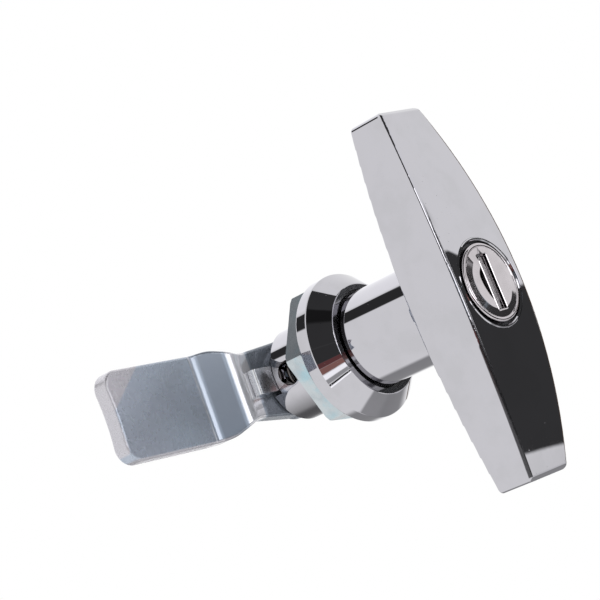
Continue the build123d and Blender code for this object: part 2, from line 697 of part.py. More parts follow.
def cam_washer():
    """The flat washer on the cam."""
    return ring(CAM_WASHER_RADIUS, BOLT_SHANK_RADIUS + 2 * FREE, cam_back, cam_washer_back)


def lock_washer():
    """The split spring washer under the bolt's head."""
    body = ring(LOCK_WASHER_RADIUS, BOLT_SHANK_RADIUS + FREE, cam_washer_back, head_seat)
    cut = LOCK_WASHER_SPLIT / 2
    span = (cam_washer_back - THROUGH, head_seat + THROUGH)
    return body - block((0, LOCK_WASHER_RADIUS + THROUGH), span, (-cut, cut))


def cam_bolt():
    """The hex bolt in the tail's end."""
    end = head_seat + BOLT_HEAD_HEIGHT
    head = hexagon(BOLT_HEAD_FLATS, head_seat, end)
    outer = head.faces().sort_by(Axis.Y)[-1]
    head = chamfer(outer.edges(), BOLT_HEAD_CHAMFER)
    return head + disc(BOLT_SHANK_RADIUS, head_seat - BOLT_SHANK_LENGTH, head_seat + SLIP)


def parts():
    """Every piece by its node's name."""
    pieces = {
        "t_handle": t_handle(),
        "cylinder_shell": cylinder_shell(),
        "cylinder_pin": cylinder_pin(),
        "plug": plug(),
        "plug_cap": plug_cap(),
        "plug_clip": plug_clip(),
        "dust_shutter": dust_shutter(),
        "shutter_pin": shutter_pin(),
        "shutter_spring": shutter_spring(),
        "wafer_springs": wafer_springs(),
        "lock_bolt": lock_bolt(),
        "bezel_housing": bezel_housing(),
        "neck_seal": neck_seal(),
        "thrust_washer": thrust_washer(),
        "mounting_nut": mounting_nut(),
        "barrel_spring": barrel_spring(),
        "stop_washer": stop_washer(),
        "cam": cam(),
        "cam_washer": cam_washer(),
        "lock_washer": lock_washer(),
        "cam_bolt": cam_bolt(),
    }
    for index in range(WAFER_COUNT):
        pieces[f"wafer_{index + 1}"] = wafer(index)
    return pieces


os.makedirs("parts", exist_ok=True)
for name, piece in parts().items():
    export_step(piece, f"parts/{name}.step")

spring_gap = coil_gap(SPRING_WIRE, SPRING_TURNS, spring_end - spring_start)
print(f"barrel spring: {spring_gap:.2f} mm between its turns")
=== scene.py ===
import json
import math

import bpy
import numpy as np
from mathutils import Matrix, Vector


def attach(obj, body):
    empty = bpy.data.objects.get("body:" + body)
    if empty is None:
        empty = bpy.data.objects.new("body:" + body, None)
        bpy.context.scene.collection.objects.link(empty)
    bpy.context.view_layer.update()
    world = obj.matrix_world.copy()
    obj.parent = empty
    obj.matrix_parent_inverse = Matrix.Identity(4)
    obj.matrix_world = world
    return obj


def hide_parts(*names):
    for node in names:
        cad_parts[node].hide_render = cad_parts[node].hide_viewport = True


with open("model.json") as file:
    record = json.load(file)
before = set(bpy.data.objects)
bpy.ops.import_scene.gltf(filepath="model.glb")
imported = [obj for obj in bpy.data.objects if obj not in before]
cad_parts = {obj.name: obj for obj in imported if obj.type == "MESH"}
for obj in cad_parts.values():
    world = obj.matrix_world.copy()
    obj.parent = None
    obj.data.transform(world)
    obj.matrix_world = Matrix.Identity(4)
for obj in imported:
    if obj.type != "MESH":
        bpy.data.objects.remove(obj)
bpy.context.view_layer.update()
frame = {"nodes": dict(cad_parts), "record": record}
nodes = frame["nodes"]
MM = 0.001

# ---------------------------------------------------------------- places that the finishes follow
# Millimetres in the row frame: Y runs from the grip (negative) to the cam, Z is up the grip.

SLOT_HALF_WIDE, SLOT_HALF_LONG = 1.3, 5.25
SLOT_WALL_FRONT = -34.8         # the slot's walls, painted dark as shade, lie in front of this depth
LIP_WIDTH, LIP_FRONT = 0.22, -35.33
BEHIND_CAP = -33.0              # the plug's front end reaches this depth
RECESS_FLOOR = -34.62           # bottom of the recess round the key face

GRIP_HALF_WIDE = 10.3
GRIP_BOW = 3.37                 # half width lost (metres) for each squared metre of height
GRIP_END = 34.6                 # height at which the end's bevel starts
GRIP_SIDE_FRONT = -29.0         # the rounded front edge lies in front of this depth

BEZEL_NOSE = -6.29              # depth of the flat nose round the neck
BARREL_FRONT = 5.0              # depth at which the barrel leaves the nut
NUT_ACROSS_HALF = 11.94
NUT_DARK_FLAT = 142.7           # direction of the nut flat painted dark as shade, in degrees from +X towards +Z
CAM_AXIS = 176.6                # direction of the cam's blade

# ---------------------------------------------------------------- node helpers


class Finish:
    """A material under construction: its node tree, its Principled shader and short ways to add
    nodes."""

    def __init__(self, name, metallic=1.0):
        self.material = bpy.data.materials.new(name)
        self.material.use_nodes = True
        self.tree = self.material.node_tree
        self.shader = self.tree.nodes["Principled BSDF"]
        self.shader.inputs["Metallic"].default_value = metallic
        self.coords = self.tree.nodes.new("ShaderNodeTexCoord").outputs["Object"]

    def wire(self, value, socket):
        """A number or colour is set on the socket, and an output is linked to it."""
        if isinstance(value, bpy.types.NodeSocket):
            self.tree.links.new(value, socket)
        else:
            socket.default_value = value

    def maths(self, operation, a, b=0.0, c=0.0):
        node = self.tree.nodes.new("ShaderNodeMath")
        node.operation = operation
        for socket, value in zip(node.inputs, (a, b, c)):
            self.wire(value, socket)
        return node.outputs[0]

    def product(self, share, *others):
        for other in others:
            share = self.maths("MULTIPLY", share, other)
        return share

    def largest(self, share, *others):
        for other in others:
            share = self.maths("MAXIMUM", share, other)
        return share

    def below(self, length, limit):
        """1 where a length is less than a limit in millimetres, else 0."""
        return self.maths("LESS_THAN", length, limit * MM)

    def above(self, length, limit):
        """1 where a length is more than a limit in millimetres, else 0."""
        return self.maths("GREATER_THAN", length, limit * MM)

    def placed(self, stretch=(1.0, 1.0, 1.0), turn=(0.0, 0.0, 0.0), shift=(0.0, 0.0, 0.0)):
        """Object coordinates, moved, turned (degrees) and stretched."""
        node = self.tree.nodes.new("ShaderNodeMapping")
        self.tree.links.new(self.coords, node.inputs["Vector"])
        node.inputs["Location"].default_value = shift
        node.inputs["Rotation"].default_value = [math.radians(t) for t in turn]
        node.inputs["Scale"].default_value = stretch
        return node.outputs[0]

    def axis(self, index):
        """One object coordinate, in metres: 0 is X, 1 is Y, 2 is Z."""
        node = self.tree.nodes.new("ShaderNodeSeparateXYZ")
        self.tree.links.new(self.coords, node.inputs[0])
        return node.outputs[index]

    def along(self, angle):
        """Distance from the lock's axis in the XZ plane, towards an angle in degrees from +X."""
        turn = math.radians(angle)
        rise = self.maths("MULTIPLY", self.axis(2), math.sin(turn))
        return self.maths("MULTIPLY_ADD", self.axis(0), math.cos(turn), rise)

    def noise(self, grain, detail=3.0, rough=0.5, where=None, twist=0.0):
        """Fractal noise whose largest spots are about `grain` metres across."""
        node = self.tree.nodes.new("ShaderNodeTexNoise")
        self.tree.links.new(where or self.coords, node.inputs["Vector"])
        node.inputs["Scale"].default_value = 1.0 / grain
        node.inputs["Detail"].default_value = detail
        node.inputs["Roughness"].default_value = rough
        node.inputs["Distortion"].default_value = twist
        return node.outputs["Fac"]

    def cells(self, grain):
        """Distance to the middle of the nearest of scattered cells, about `grain` metres apart."""
        node = self.tree.nodes.new("ShaderNodeTexVoronoi")
        self.tree.links.new(self.coords, node.inputs["Vector"])
        node.inputs["Scale"].default_value = 1.0 / grain
        return node.outputs["Distance"]

    def ranged(self, value, low, high, to_low=0.0, to_high=1.0):
        """A smooth change from to_low to to_high as the value goes from low to high."""
        node = self.tree.nodes.new("ShaderNodeMapRange")
        node.interpolation_type = "SMOOTHSTEP"
        for socket, level in zip(node.inputs, (value, low, high, to_low, to_high)):
            self.wire(level, socket)
        return node.outputs[0]

    def faded(self, length, start, end, to_start=0.0, to_end=1.0):
        """As ranged, between two lengths in millimetres."""
        return self.ranged(length, start * MM, end * MM, to_start, to_end)

    def blended(self, share, a, b):
        """Colour a where share is 0, colour b where it is 1."""
        node = self.tree.nodes.new("ShaderNodeMix")
        node.data_type = "RGBA"
        factor, first, second = node.inputs[0], node.inputs[6], node.inputs[7]
        self.wire(share, factor)
        for value, socket in ((a, first), (b, second)):
            self.wire((*value, 1.0) if isinstance(value, tuple) else value, socket)
        return node.outputs[2]

    def bump(self, height, depth, onto=None):
        """Shading relief: `height` runs from 0 to 1 and stands for `depth` metres."""
        node = self.tree.nodes.new("ShaderNodeBump")
        node.inputs["Distance"].default_value = depth
        self.wire(height, node.inputs["Height"])
        if onto is not None:
            self.tree.links.new(onto, node.inputs["Normal"])
        return node.outputs["Normal"]

    def gloss_between(self, share, roughness):
        """Roughness from the first of a pair where share is 0 to the second where it is 1."""
        clear, hazy = roughness
        return self.maths("MULTIPLY_ADD", share, hazy - clear, clear)

    def set(self, **sockets):
        for socket, value in sockets.items():
            target = self.shader.inputs[socket.replace("_", " ")]
            self.wire((*value, 1.0) if isinstance(value, tuple) else value, target)


# ---------------------------------------------------------------- finishes


def plated_chrome(name, tint, dull, haze, roughness, wave, wave_depth, pits, crown=None,
                  shade=None):
    """Bright chrome on a casting brought to a mirror polish: a faint plating haze in colour and
    gloss, slow polishing waves, hairlines from wiping and a few fine pits under the plating.
    `crown` is the place along X and the radius to which the buffing wheel has rounded a front from
    side to side;
    `shade` takes the finish and gives the share of painted shade, which is dark and less glossy."""
    shade_tint, shade_roughness = tuple(c * 0.16 for c in tint), 0.22
    hair_grain, hair_stretch, hair_turn, hair_roughness = 0.00022, (1, 1, 0.06), (14, 8, 0), 0.035
    fine_share, pit_depth = 0.12, 0.000004
    f = Finish(name)
    cloud = f.noise(haze, detail=4.0, rough=0.55)
    fine = f.noise(haze * fine_share, detail=3.0, rough=0.6)
    colour = f.blended(f.ranged(cloud, low=0.42, high=0.68), tint, dull)
    gloss = f.gloss_between(f.ranged(fine, low=0.35, high=0.7), roughness)
    # painted shade: the shade share darkens the colour to stand in for shade and dark reflections
    if shade:
        shaded = shade(f)
        colour = f.blended(shaded, colour, shade_tint)
        gloss = f.maths("MULTIPLY_ADD", shaded, shade_roughness, gloss)
    hairs = f.noise(hair_grain, detail=2.0, rough=0.5, where=f.placed(hair_stretch, hair_turn))
    wiped = f.product(f.ranged(hairs, low=0.60, high=0.74), f.ranged(cloud, low=0.45, high=0.6))
    f.set(Base_Color=colour, Roughness=f.maths("MULTIPLY_ADD", wiped, hair_roughness, gloss))
    rounded = None
    if crown:
        middle, radius = crown
        x = f.maths("SUBTRACT", f.axis(0), middle)
        rounded = f.bump(f.product(x, x, -0.5 / radius), 1.0)
    waves = f.bump(f.noise(wave, detail=2.0, rough=0.45), wave_depth, rounded)
    f.set(Normal=f.bump(f.ranged(f.cells(pits), low=0.03, high=0.1), pit_depth, waves))
    return f.material


def zinc_plate(name, pale, deep, blue, roughness, mottle, grain_depth, metallic=1.0,
               pale_highlight=None, painted_shade=None, polished=None, burnished=None):
    """Bright passivated zinc on tumbled steel: soft clouds between two greys, a blue-green bloom
    and a faint orange peel. The last four take the finish and give shares, in order: of a pale
    painted highlight, of painted shade, of a bright painted highlight and of smooth metal."""
    # the pale painted highlight, the painted shade and the bright painted highlight, each with its
    # colour
    patch_colours = ((pale_highlight, (0.65, 0.625, 0.655)), (painted_shade, (0.10, 0.108, 0.12)),
                    (polished, (0.82, 0.82, 0.85)))
    bloom_share, burnished_loss = 0.6, -0.62
    bloom_shift = (0.013, 0.02, 0.031)
    speck_share, bloom_spread = 0.2, 1.3
    peel_grain, ripple_grain, ripple_rise = 0.0011, 0.0045, 3.0
    f = Finish(name, metallic)
    cloud = f.noise(mottle, detail=3.0, rough=0.5, twist=0.4)
    speck = f.noise(mottle * speck_share, detail=3.0, rough=0.55)
    bloom = f.noise(mottle * bloom_spread, detail=3.0, rough=0.55,
                    where=f.placed(shift=bloom_shift))
    colour = f.blended(f.ranged(cloud, low=0.36, high=0.66), pale, deep)
    colour = f.blended(f.product(f.ranged(bloom, low=0.44, high=0.68), bloom_share), colour, blue)
    for share, patch in patch_colours:
        if share:
            colour = f.blended(share(f), colour, patch)
    gloss = f.gloss_between(f.ranged(speck, low=0.3, high=0.72), roughness)
    if burnished:
        gloss = f.product(gloss, f.maths("MULTIPLY_ADD", burnished(f), burnished_loss, 1.0))
    peel = f.bump(f.noise(peel_grain, detail=2.0, rough=0.5), grain_depth)
    ripples = f.noise(ripple_grain, detail=2.0, rough=0.5)
    relief = f.bump(ripples, grain_depth * ripple_rise, peel)
    f.set(Base_Color=colour, Roughness=gloss, Normal=relief)
    return f.material


def turned_metal(name, pale, deep, roughness, depth, metallic=1.0, plated_front=None):
    """Machined brass or steel: fine tool lines across the axis, tarnish in soft clouds. In front of
    the depth `plated_front` along Y, in millimetres, the metal is plated pale."""
    tarnish_grain, line_grain, line_stretch = 0.0028, 0.0011, (1, 9, 1)
    plated_pale, plated_edge = (0.72, 0.71, 0.73), 1.0
    f = Finish(name, metallic)
    cloud = f.noise(tarnish_grain, detail=3.0, rough=0.55)
    lines = f.noise(line_grain, detail=3.0, rough=0.65, where=f.placed(line_stretch))
    colour = f.blended(f.ranged(cloud, low=0.38, high=0.66), pale, deep)
    if plated_front is not None:
        front = f.faded(f.axis(1), plated_front, plated_front + plated_edge, 1.0, 0.0)
        colour = f.blended(front, colour, plated_pale)
    gloss = f.gloss_between(f.ranged(lines, low=0.3, high=0.7), roughness)
    f.set(Base_Color=colour, Roughness=gloss, Normal=f.bump(lines, depth))
    return f.material


def pressed_stainless(name, pale, deep, roughness, lean):
    """The pressed key face: brought to a polish with a fine satin grain, slightly warm, with soft
    mottle; its flat middle took its polish `lean` degrees off square. The slot's walls and the back
    of its lip are painted near black as shade."""
    slot_shade_colour = (0.012, 0.012, 0.012)
    mottle_grain, satin_grain, satin_stretch, satin_depth = 0.0035, 0.0007, (1, 1, 14), 0.0000004
    dent_grain, dent_depth = 0.0024, 0.000002
    edge, lip_edge = 0.003, 0.05
    f = Finish(name)
    x, y, z = (f.axis(index) for index in range(3))
    cloud = f.noise(mottle_grain, detail=4.0, rough=0.55)
    grain = f.noise(satin_grain, detail=3.0, rough=0.6, where=f.placed(satin_stretch))
    between_ends = f.below(f.maths("ABSOLUTE", z), SLOT_HALF_LONG + edge)
    between_sides = f.below(f.maths("ABSOLUTE", x), SLOT_HALF_WIDE + edge)
    walls = f.product(f.below(y, SLOT_WALL_FRONT), between_sides, between_ends)
    at_lip = f.product(f.above(x, -SLOT_HALF_WIDE - LIP_WIDTH - lip_edge), f.below(x, 0.0))
    lip_back = f.product(at_lip, between_ends, f.above(y, LIP_FRONT))
    colour = f.blended(f.ranged(cloud, low=0.38, high=0.66), pale, deep)
    # painted shade: the slot's walls and the lip's back are coloured near black
    f.set(Base_Color=f.blended(f.largest(walls, lip_back), colour, slot_shade_colour))
    f.set(Roughness=f.gloss_between(f.ranged(grain, low=0.3, high=0.7), roughness))
    leaning = f.bump(f.product(z, math.tan(math.radians(lean))), 1.0)
    satin = f.bump(grain, satin_depth, leaning)
    f.set(Normal=f.bump(f.noise(dent_grain, detail=2.0, rough=0.5), dent_depth, satin))
    return f.material


def black_rubber(name, clean, dusty, roughness):
    """The neck seal: smooth black rubber with a faint dusty bloom."""
    dust_grain, skin_grain, skin_depth = 0.0012, 0.0006, 0.0000004
    f = Finish(name, metallic=0.0)
    dust = f.noise(dust_grain, detail=4.0, rough=0.6)
    f.set(Base_Color=f.blended(f.ranged(dust, low=0.45, high=0.75), clean, dusty))
    f.set(Roughness=f.gloss_between(f.ranged(dust, low=0.3, high=0.7), roughness))
    f.set(Normal=f.bump(f.noise(skin_grain, detail=2.0, rough=0.5), skin_depth))
    return f.material


def painted_bezel_shade(f):
    """Painted shade on the bezel: a dark tint on the flat nose round the neck and on the barrel's
    underside."""
    nose_share, nose_edge = 0.42, 0.008
    barrel_share, barrel_edge, dark_below, clear_above = 0.9, 0.6, -8.4, -3.0
    nose = f.faded(f.axis(1), BEZEL_NOSE - nose_edge, BEZEL_NOSE, nose_share, 0.0)
    barrel = f.faded(f.axis(1), BARREL_FRONT - barrel_edge, BARREL_FRONT)
    under = f.faded(f.axis(2), dark_below, clear_above, barrel_share, 0.0)
    return f.largest(nose, f.product(barrel, under))


def painted_grip_edge_shade(f):
    """Painted dark reflection along the grip's rounded left front edge: a band along the edge that
    is wide below the key face, narrow beside it and gone near the top. The grip's half width is
    taken as a parabola in Z."""
    wide_start, narrow_start, band_end, soft = 0.03, 0.46, 0.84, 0.08
    wide_below, narrow_above = -10.5, -8.5
    top_fade, top_clear, bottom_fade = 8.0, 18.0, 0.2
    z = f.axis(2)
    half_wide = f.maths("MULTIPLY_ADD", f.product(z, z), -GRIP_BOW, GRIP_HALF_WIDE * MM)
    inward = f.maths("ADD", f.axis(0), half_wide)
    start = f.faded(z, wide_below, narrow_above, wide_start * MM, narrow_start * MM)
    return f.product(
        f.ranged(inward, start, f.maths("ADD", start, soft * MM)),
        f.faded(inward, band_end - soft, band_end, 1.0, 0.0),
        f.below(f.axis(1), GRIP_SIDE_FRONT),
        f.faded(z, -GRIP_END, -GRIP_END + bottom_fade),
        f.faded(z, top_fade, top_clear, 1.0, 0.0),
    )


def painted_recess_shade(f):
    """Painted shade in the recess between the cylinder's ring and the key face."""
    soft = 0.16
    return f.faded(f.axis(1), RECESS_FLOOR - soft, RECESS_FLOOR)


def painted_nut_flat_shade(f):
    """Painted shade on one of the nut's flats."""
    share, soft = 0.85, 0.06
    return f.faded(f.along(NUT_DARK_FLAT), NUT_ACROSS_HALF - soft, NUT_ACROSS_HALF, 0.0, share)


def painted_cam_edge_highlight(f):
    """Painted highlight along the cam's upper corner, free end and lower edge."""
    corner_slant, corner_share, edge_share = -0.73, 0.85, 0.8
    corner_start, corner_full = 36.0, 36.6
    end_start, end_full = 44.3, 44.6
    lower_start, lower_full = 8.0, 8.3
    towards_corner = f.maths("MULTIPLY_ADD", f.axis(0), corner_slant, f.axis(2))
    return f.largest(
        f.faded(towards_corner, corner_start, corner_full, to_end=corner_share),
        f.faded(f.along(CAM_AXIS), end_start, end_full, to_end=edge_share),
        f.faded(f.along(CAM_AXIS + 90), lower_start, lower_full, to_end=edge_share),
    )


def band(f, start, end, soft):
    """1 between two distances along the cam, falling to 0 over `soft` outside (millimetres)."""
    reach = f.along(CAM_AXIS)
    return f.product(f.faded(reach, start - soft, start), f.faded(reach, end, end + soft, 1.0, 0.0))


def burnished_bends(f):
    """Where the press has burnished the cam's two bends and the slope between them."""
    return band(f, start=11.2, end=22.1, soft=0.4)


def painted_bend_highlight(f):
    """Painted highlight on the flat and bend next to the hub, and a fine painted highlight line at
    the foot of the other bend."""
    near_hub = band(f, start=12.0, end=16.0, soft=0.4)
    return f.largest(near_hub, band(f, start=21.95, end=22.1, soft=0.1))


def hub_shade_and_slope_band(f):
    """Dark metal on the cam: painted shade round the hub, and a darker band across the slope."""
    hub_shade_share, hub_shade_full, hub_shade_end, slope_band_share = 0.6, 10.8, 11.8, 0.42
    hub_shade = f.faded(f.along(CAM_AXIS), hub_shade_full, hub_shade_end, hub_shade_share, 0.0)
    return f.largest(hub_shade, f.product(band(f, start=17.0, end=20.3, soft=0.4), slope_band_share))


# Each finish: the function that makes it, then that function's values. Lengths are in metres, but
# for plated_front; `lean` is in degrees.
CHROME = (0.565, 0.558, 0.591)
# The shade masks and the nut's and cam's patch masks below paint shade and highlights into the
# colour.
FINISHES = {
    "grip_chrome": (plated_chrome, dict(
        tint=CHROME, dull=(0.54, 0.535, 0.563), haze=0.006, roughness=(0.012, 0.03),
        wave=0.0045, wave_depth=0.0000016, pits=0.0016, crown=(0.0, 0.2), shade=painted_grip_edge_shade)),
    "bezel_chrome": (plated_chrome, dict(
        tint=CHROME, dull=(0.535, 0.53, 0.557), haze=0.005, roughness=(0.015, 0.04),
        wave=0.003, wave_depth=0.000002, pits=0.0013, shade=painted_bezel_shade)),
    "ring_chrome": (plated_chrome, dict(
        tint=(0.575, 0.57, 0.6), dull=(0.54, 0.535, 0.56), haze=0.004, roughness=(0.03, 0.06),
        wave=0.0022, wave_depth=0.000001, pits=0.0011, shade=painted_recess_shade)),
    "tab_chrome": (plated_chrome, dict(
        tint=(0.84, 0.85, 0.87), dull=(0.76, 0.77, 0.79), haze=0.003, roughness=(0.27, 0.31),
        wave=0.0022, wave_depth=0.000001, pits=0.0015, crown=(-0.0075, 0.033))),
    "cap_stainless": (pressed_stainless, dict(
        pale=(0.60, 0.565, 0.585), deep=(0.54, 0.51, 0.525), roughness=(0.05, 0.10), lean=-3.5)),
    "shutter_steel": (turned_metal, dict(
        pale=(0.60, 0.57, 0.585), deep=(0.55, 0.52, 0.535), roughness=(0.40, 0.44),
        depth=0.0000003, metallic=0.35)),
    "inner_steel": (turned_metal, dict(
        pale=(0.44, 0.44, 0.45), deep=(0.33, 0.33, 0.34), roughness=(0.22, 0.36),
        depth=0.000004)),
    "spring_steel": (turned_metal, dict(
        pale=(0.20, 0.185, 0.18), deep=(0.10, 0.085, 0.075), roughness=(0.24, 0.4),
        depth=0.000002)),
    "nut_zinc": (zinc_plate, dict(
        pale=(0.57, 0.62, 0.64), deep=(0.48, 0.53, 0.56), blue=(0.36, 0.60, 0.68),
        roughness=(0.13, 0.22), mottle=0.0034, grain_depth=0.0000012, painted_shade=painted_nut_flat_shade)),
    "cam_zinc": (zinc_plate, dict(
        pale=(0.475, 0.53, 0.61), deep=(0.47, 0.52, 0.605), blue=(0.46, 0.52, 0.61),
        roughness=(0.27, 0.28), mottle=0.007, grain_depth=0.0000003, metallic=0.5,
        pale_highlight=painted_cam_edge_highlight, painted_shade=hub_shade_and_slope_band, polished=painted_bend_highlight,
        burnished=burnished_bends)),
    "plug_brass": (turned_metal, dict(
        pale=(0.62, 0.50, 0.30), deep=(0.42, 0.33, 0.19), roughness=(0.25, 0.42),
        depth=0.000005, plated_front=BEHIND_CAP)),
    "wafer_brass": (turned_metal, dict(
        pale=(0.66, 0.55, 0.34), deep=(0.50, 0.40, 0.24), roughness=(0.24, 0.38),
        depth=0.000004)),
    "seal_rubber": (black_rubber, dict(
        clean=(0.013, 0.013, 0.014), dusty=(0.02, 0.0195, 0.0195), roughness=(0.34, 0.42))),
}
finishes = {name: make(name, **values) for name, (make, values) in FINISHES.items()}

SLOT_OF = {part["node"]: part["material_slot"] for part in frame["record"]["subparts"]}
for name, node in nodes.items():
    finish = finishes[SLOT_OF[name]]
    if not node.material_slots:
        node.data.materials.append(finish)
    for place in node.material_slots:
        place.material = finish

# ---------------------------------------------------------------- the key face

SLOT_COLUMNS, FACE_ROWS = 420, 110
RIM_DROP = 0.5


def wrapped_surface(name, places):
    """A closed ring-shaped mesh from an array of points (rows, columns, 3), joined end to end both
    ways."""
    rows, columns = places.shape[:2]
    index = np.arange(rows * columns).reshape(rows, columns)
    across, down = np.roll(index, -1, 1), np.roll(index, -1, 0)
    faces = np.stack([index, across, np.roll(across, -1, 0), down], -1).reshape(-1, 4)
    mesh = bpy.data.meshes.new(name)
    mesh.from_pydata(places.reshape(-1, 3).tolist(), [], faces.tolist())
    mesh.update()
    piece = bpy.data.objects.new(name, mesh)
    bpy.context.scene.collection.objects.link(piece)
    return piece


def slot_outline():
    """X and Z of points spread evenly round the slot's edge: up its right side, over the top, down
    the left side and back along the bottom."""
    wide, long = 2 * SLOT_HALF_WIDE, 2 * SLOT_HALF_LONG
    side = long + wide
    run = (np.arange(SLOT_COLUMNS) + 0.5) / SLOT_COLUMNS * 2 * side
    legs = [run < long, run < side, run < side + long]
    x = np.select(legs, [SLOT_HALF_WIDE + 0 * run, SLOT_HALF_WIDE - (run - long),
                         -SLOT_HALF_WIDE + 0 * run],
                  -SLOT_HALF_WIDE + (run - side - long))
    z = np.select(legs, [-SLOT_HALF_LONG + run, SLOT_HALF_LONG + 0 * run,
                         SLOT_HALF_LONG - (run - side)],
                  -SLOT_HALF_LONG + 0 * run)
    return x, z


def face_height(px, pz):
    """Depth of the face behind its crest: a flat middle, a straight slope outside it, and the arc
    of a rounded bead at the rim, whichever stands prouder; a hollow beside the slot slants in
    towards it, behind a thin lip, and the rest of the slot has a bevelled edge."""
    flat, slope_end, slope_drop = 5.2, 6.65, 0.22
    bead_middle, bead_half, bead_rise, bead_overlap, slope_sink = 7.02, 0.48, 0.36, 0.1, 0.3
    shoulder, edge_width, edge_drop = 4.1, 0.22, 0.045
    hollow_bow, hollow_middle, hollow_up, hollow_down = 1.7, 1.1, 2.2, 5.0
    hollow_angle, lip_angle = 20, 12

    r = np.hypot(px, pz)
    left = np.clip(0.5 - px / SLOT_HALF_WIDE, 0, 1)
    outward = np.maximum(r - flat, (pz - shoulder) * left)
    slope = np.clip(outward / (slope_end - flat), 0, 1) * slope_drop
    arc = np.sqrt(np.clip(1 - ((r - bead_middle) / bead_half) ** 2, 0, 1))
    bead = RIM_DROP - bead_rise * arc
    sunk = slope + (r > slope_end) * slope_sink
    height = np.where(r > slope_end - bead_overlap, np.minimum(sunk, bead), slope)

    # the hollow's outer edge bows away from the slot between two ends
    upper = 1 - ((pz - hollow_middle) / hollow_up) ** 2
    lower = 1 - ((pz - hollow_middle) / hollow_down) ** 2
    bow = np.clip(np.where(pz > hollow_middle, upper, lower), 0, 1)
    lip_side = -SLOT_HALF_WIDE - LIP_WIDTH
    inward = np.clip(px + SLOT_HALF_WIDE + hollow_bow * bow, 0, None) * (px < lip_side)
    on_lip = (px >= lip_side) * (px < 0) * (np.abs(pz) < SLOT_HALF_LONG)
    lip = np.clip(-SLOT_HALF_WIDE - px, 0, None) * on_lip
    height += math.tan(math.radians(hollow_angle)) * inward
    height += math.tan(math.radians(lip_angle)) * lip

    away = np.hypot(np.clip(np.abs(px) - SLOT_HALF_WIDE, 0, None),
                    np.clip(np.abs(pz) - SLOT_HALF_LONG, 0, None))
    return height + np.clip(1 - away / edge_width, 0, 1) * edge_drop * (px > -SLOT_HALF_WIDE)


def key_face():
    """The pressed face of the key plug, in millimetres. Its points run round the slot (columns) and
    out from the slot's edge to the rim (rows), closer together at both ends; then the skirt goes
    back, in under the face and up the slot's walls."""
    crest, back, inside = -35.4, -34.05, -34.55
    radius, skirt, rim_step, easing = 7.5, 7.15, 0.02, 0.35

    x, z = slot_outline()
    angle = np.arctan2(z, x)
    rim_x, rim_z = radius * np.cos(angle), radius * np.sin(angle)
    eased = (1 - np.cos(np.linspace(0, math.pi, FACE_ROWS))) / 2
    reach = eased * easing + np.linspace(0, 1, FACE_ROWS) * (1 - easing)
    px = x + (rim_x - x) * reach[:, None]
    pz = z + (rim_z - z) * reach[:, None]
    top = np.stack([px, crest + face_height(px, pz), pz], -1)

    def loop(xs, zs, depth):
        return np.stack([xs, np.full_like(xs, depth), zs], -1)[None]

    inner = skirt / radius
    places = np.concatenate([
        loop(x, z, inside),
        loop(x, z, (crest + inside) / 2),
        top,
        loop(rim_x, rim_z, crest + RIM_DROP + rim_step),
        loop(rim_x, rim_z, back),
        loop(rim_x * inner, rim_z * inner, back),
        loop(rim_x * inner, rim_z * inner, inside),
    ])
    piece = wrapped_surface("key_face", places * MM)
    piece.data.polygons.foreach_set("use_smooth", np.ones(len(piece.data.polygons), bool))
    piece.data.set_sharp_from_angle(angle=math.radians(20))
    piece.data.materials.append(finishes["cap_stainless"])
    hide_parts("plug_cap")
    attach(piece, "plug")


key_face()

# ---------------------------------------------------------------- studio


def grey(level):
    """A studio grey, very slightly blue."""
    return (level, level, level * 1.02)


LIGHTLESS, DARK, BLACK_LINE = grey(0.014), grey(0.045), grey(0.03)
BLUE_WALL, BLUE_CARD = (0.40, 0.49, 0.56), (0.41, 0.46, 0.52)
BROWN, RED_BROWN, PALE_BROWN = (0.13, 0.085, 0.06), (0.16, 0.06, 0.06), (0.32, 0.16, 0.14)
STUDIO_PALE = (0.99, 0.99, 0.995)

# Each area: azimuth from, to and soft edge; elevation from, to and soft edge, all in degrees; its
# level. Later areas lie over earlier ones. An elevation may be a slanted edge, as the azimuth and
# elevation of its two ends.
STUDIO_AREAS = [
    (35, 92, 10, 12, 58, 8, grey(1.18)),             # softbox on the cam's side
    (-25, 66, 16, -64, -26, 18, grey(0.34)),         # the table's shade, low on the right
    (-60, 0, 12, -80, -56, 8, grey(0.40)),
    (-144, -47.5, 1, -3, 14, 4, DARK),               # dark side of the room, round the camera
    (-144, -39, 1.5, 16, 74, 5, DARK),
    (-144, -110, 5, 48, 74, 5, LIGHTLESS),
    (-110, -44, 2, 19, 34, 3, grey(0.99)),           # pale band above the windows
    (-56, -14, 3, (-38, -12.35, -27, -11.0), (-39, 8.9, -28.4, 3.4), 0.5, grey(0.05)),
    (-45, -20, 6, -34, -17, 2, grey(0.78)),          # pale card under that dark card
    (-47.5, -41.5, 0.8, 2, 10, 1, BLUE_WALL),
    (-118, -47.5, 2, -20, -3, 2, DARK),
    (-122, -107, 2, 0, 9, 2, BLUE_CARD),
    (-105, -98, 2, 0, 9, 2, grey(2.0)),              # windows on both sides of the camera
    (-98, -80, 3, 0, 9, 2, grey(2.2)),
    (-80, -66, 3, 0, 9, 2, grey(2.2)),
    (-66, -54, 2, -1, 13, 2, grey(3.2)),
    (-122, -104, 2, 12, 26, 3, grey(2.4)),
    (-8, 24, 3, -8, 15, 3, BROWN),
    (-146, -118, 5, -9, -4, 1, RED_BROWN),           # a stack of cards under the camera
    (-146, -118, 5, -16, -10, 1, PALE_BROWN),
    (-146, -118, 5, -22.5, -18, 1, grey(1.5)),
    (-146, -118, 5, -28, -24, 0.8, grey(0.45)),
    (-146, -118, 5, -31.2, -29.6, 0.4, BLACK_LINE),
    (-146, -118, 5, -33.4, -32, 0.3, grey(1.7)),
    (104, 134, 3, 40.5, 52, 2, grey(0.035)),         # ceiling fitting
]


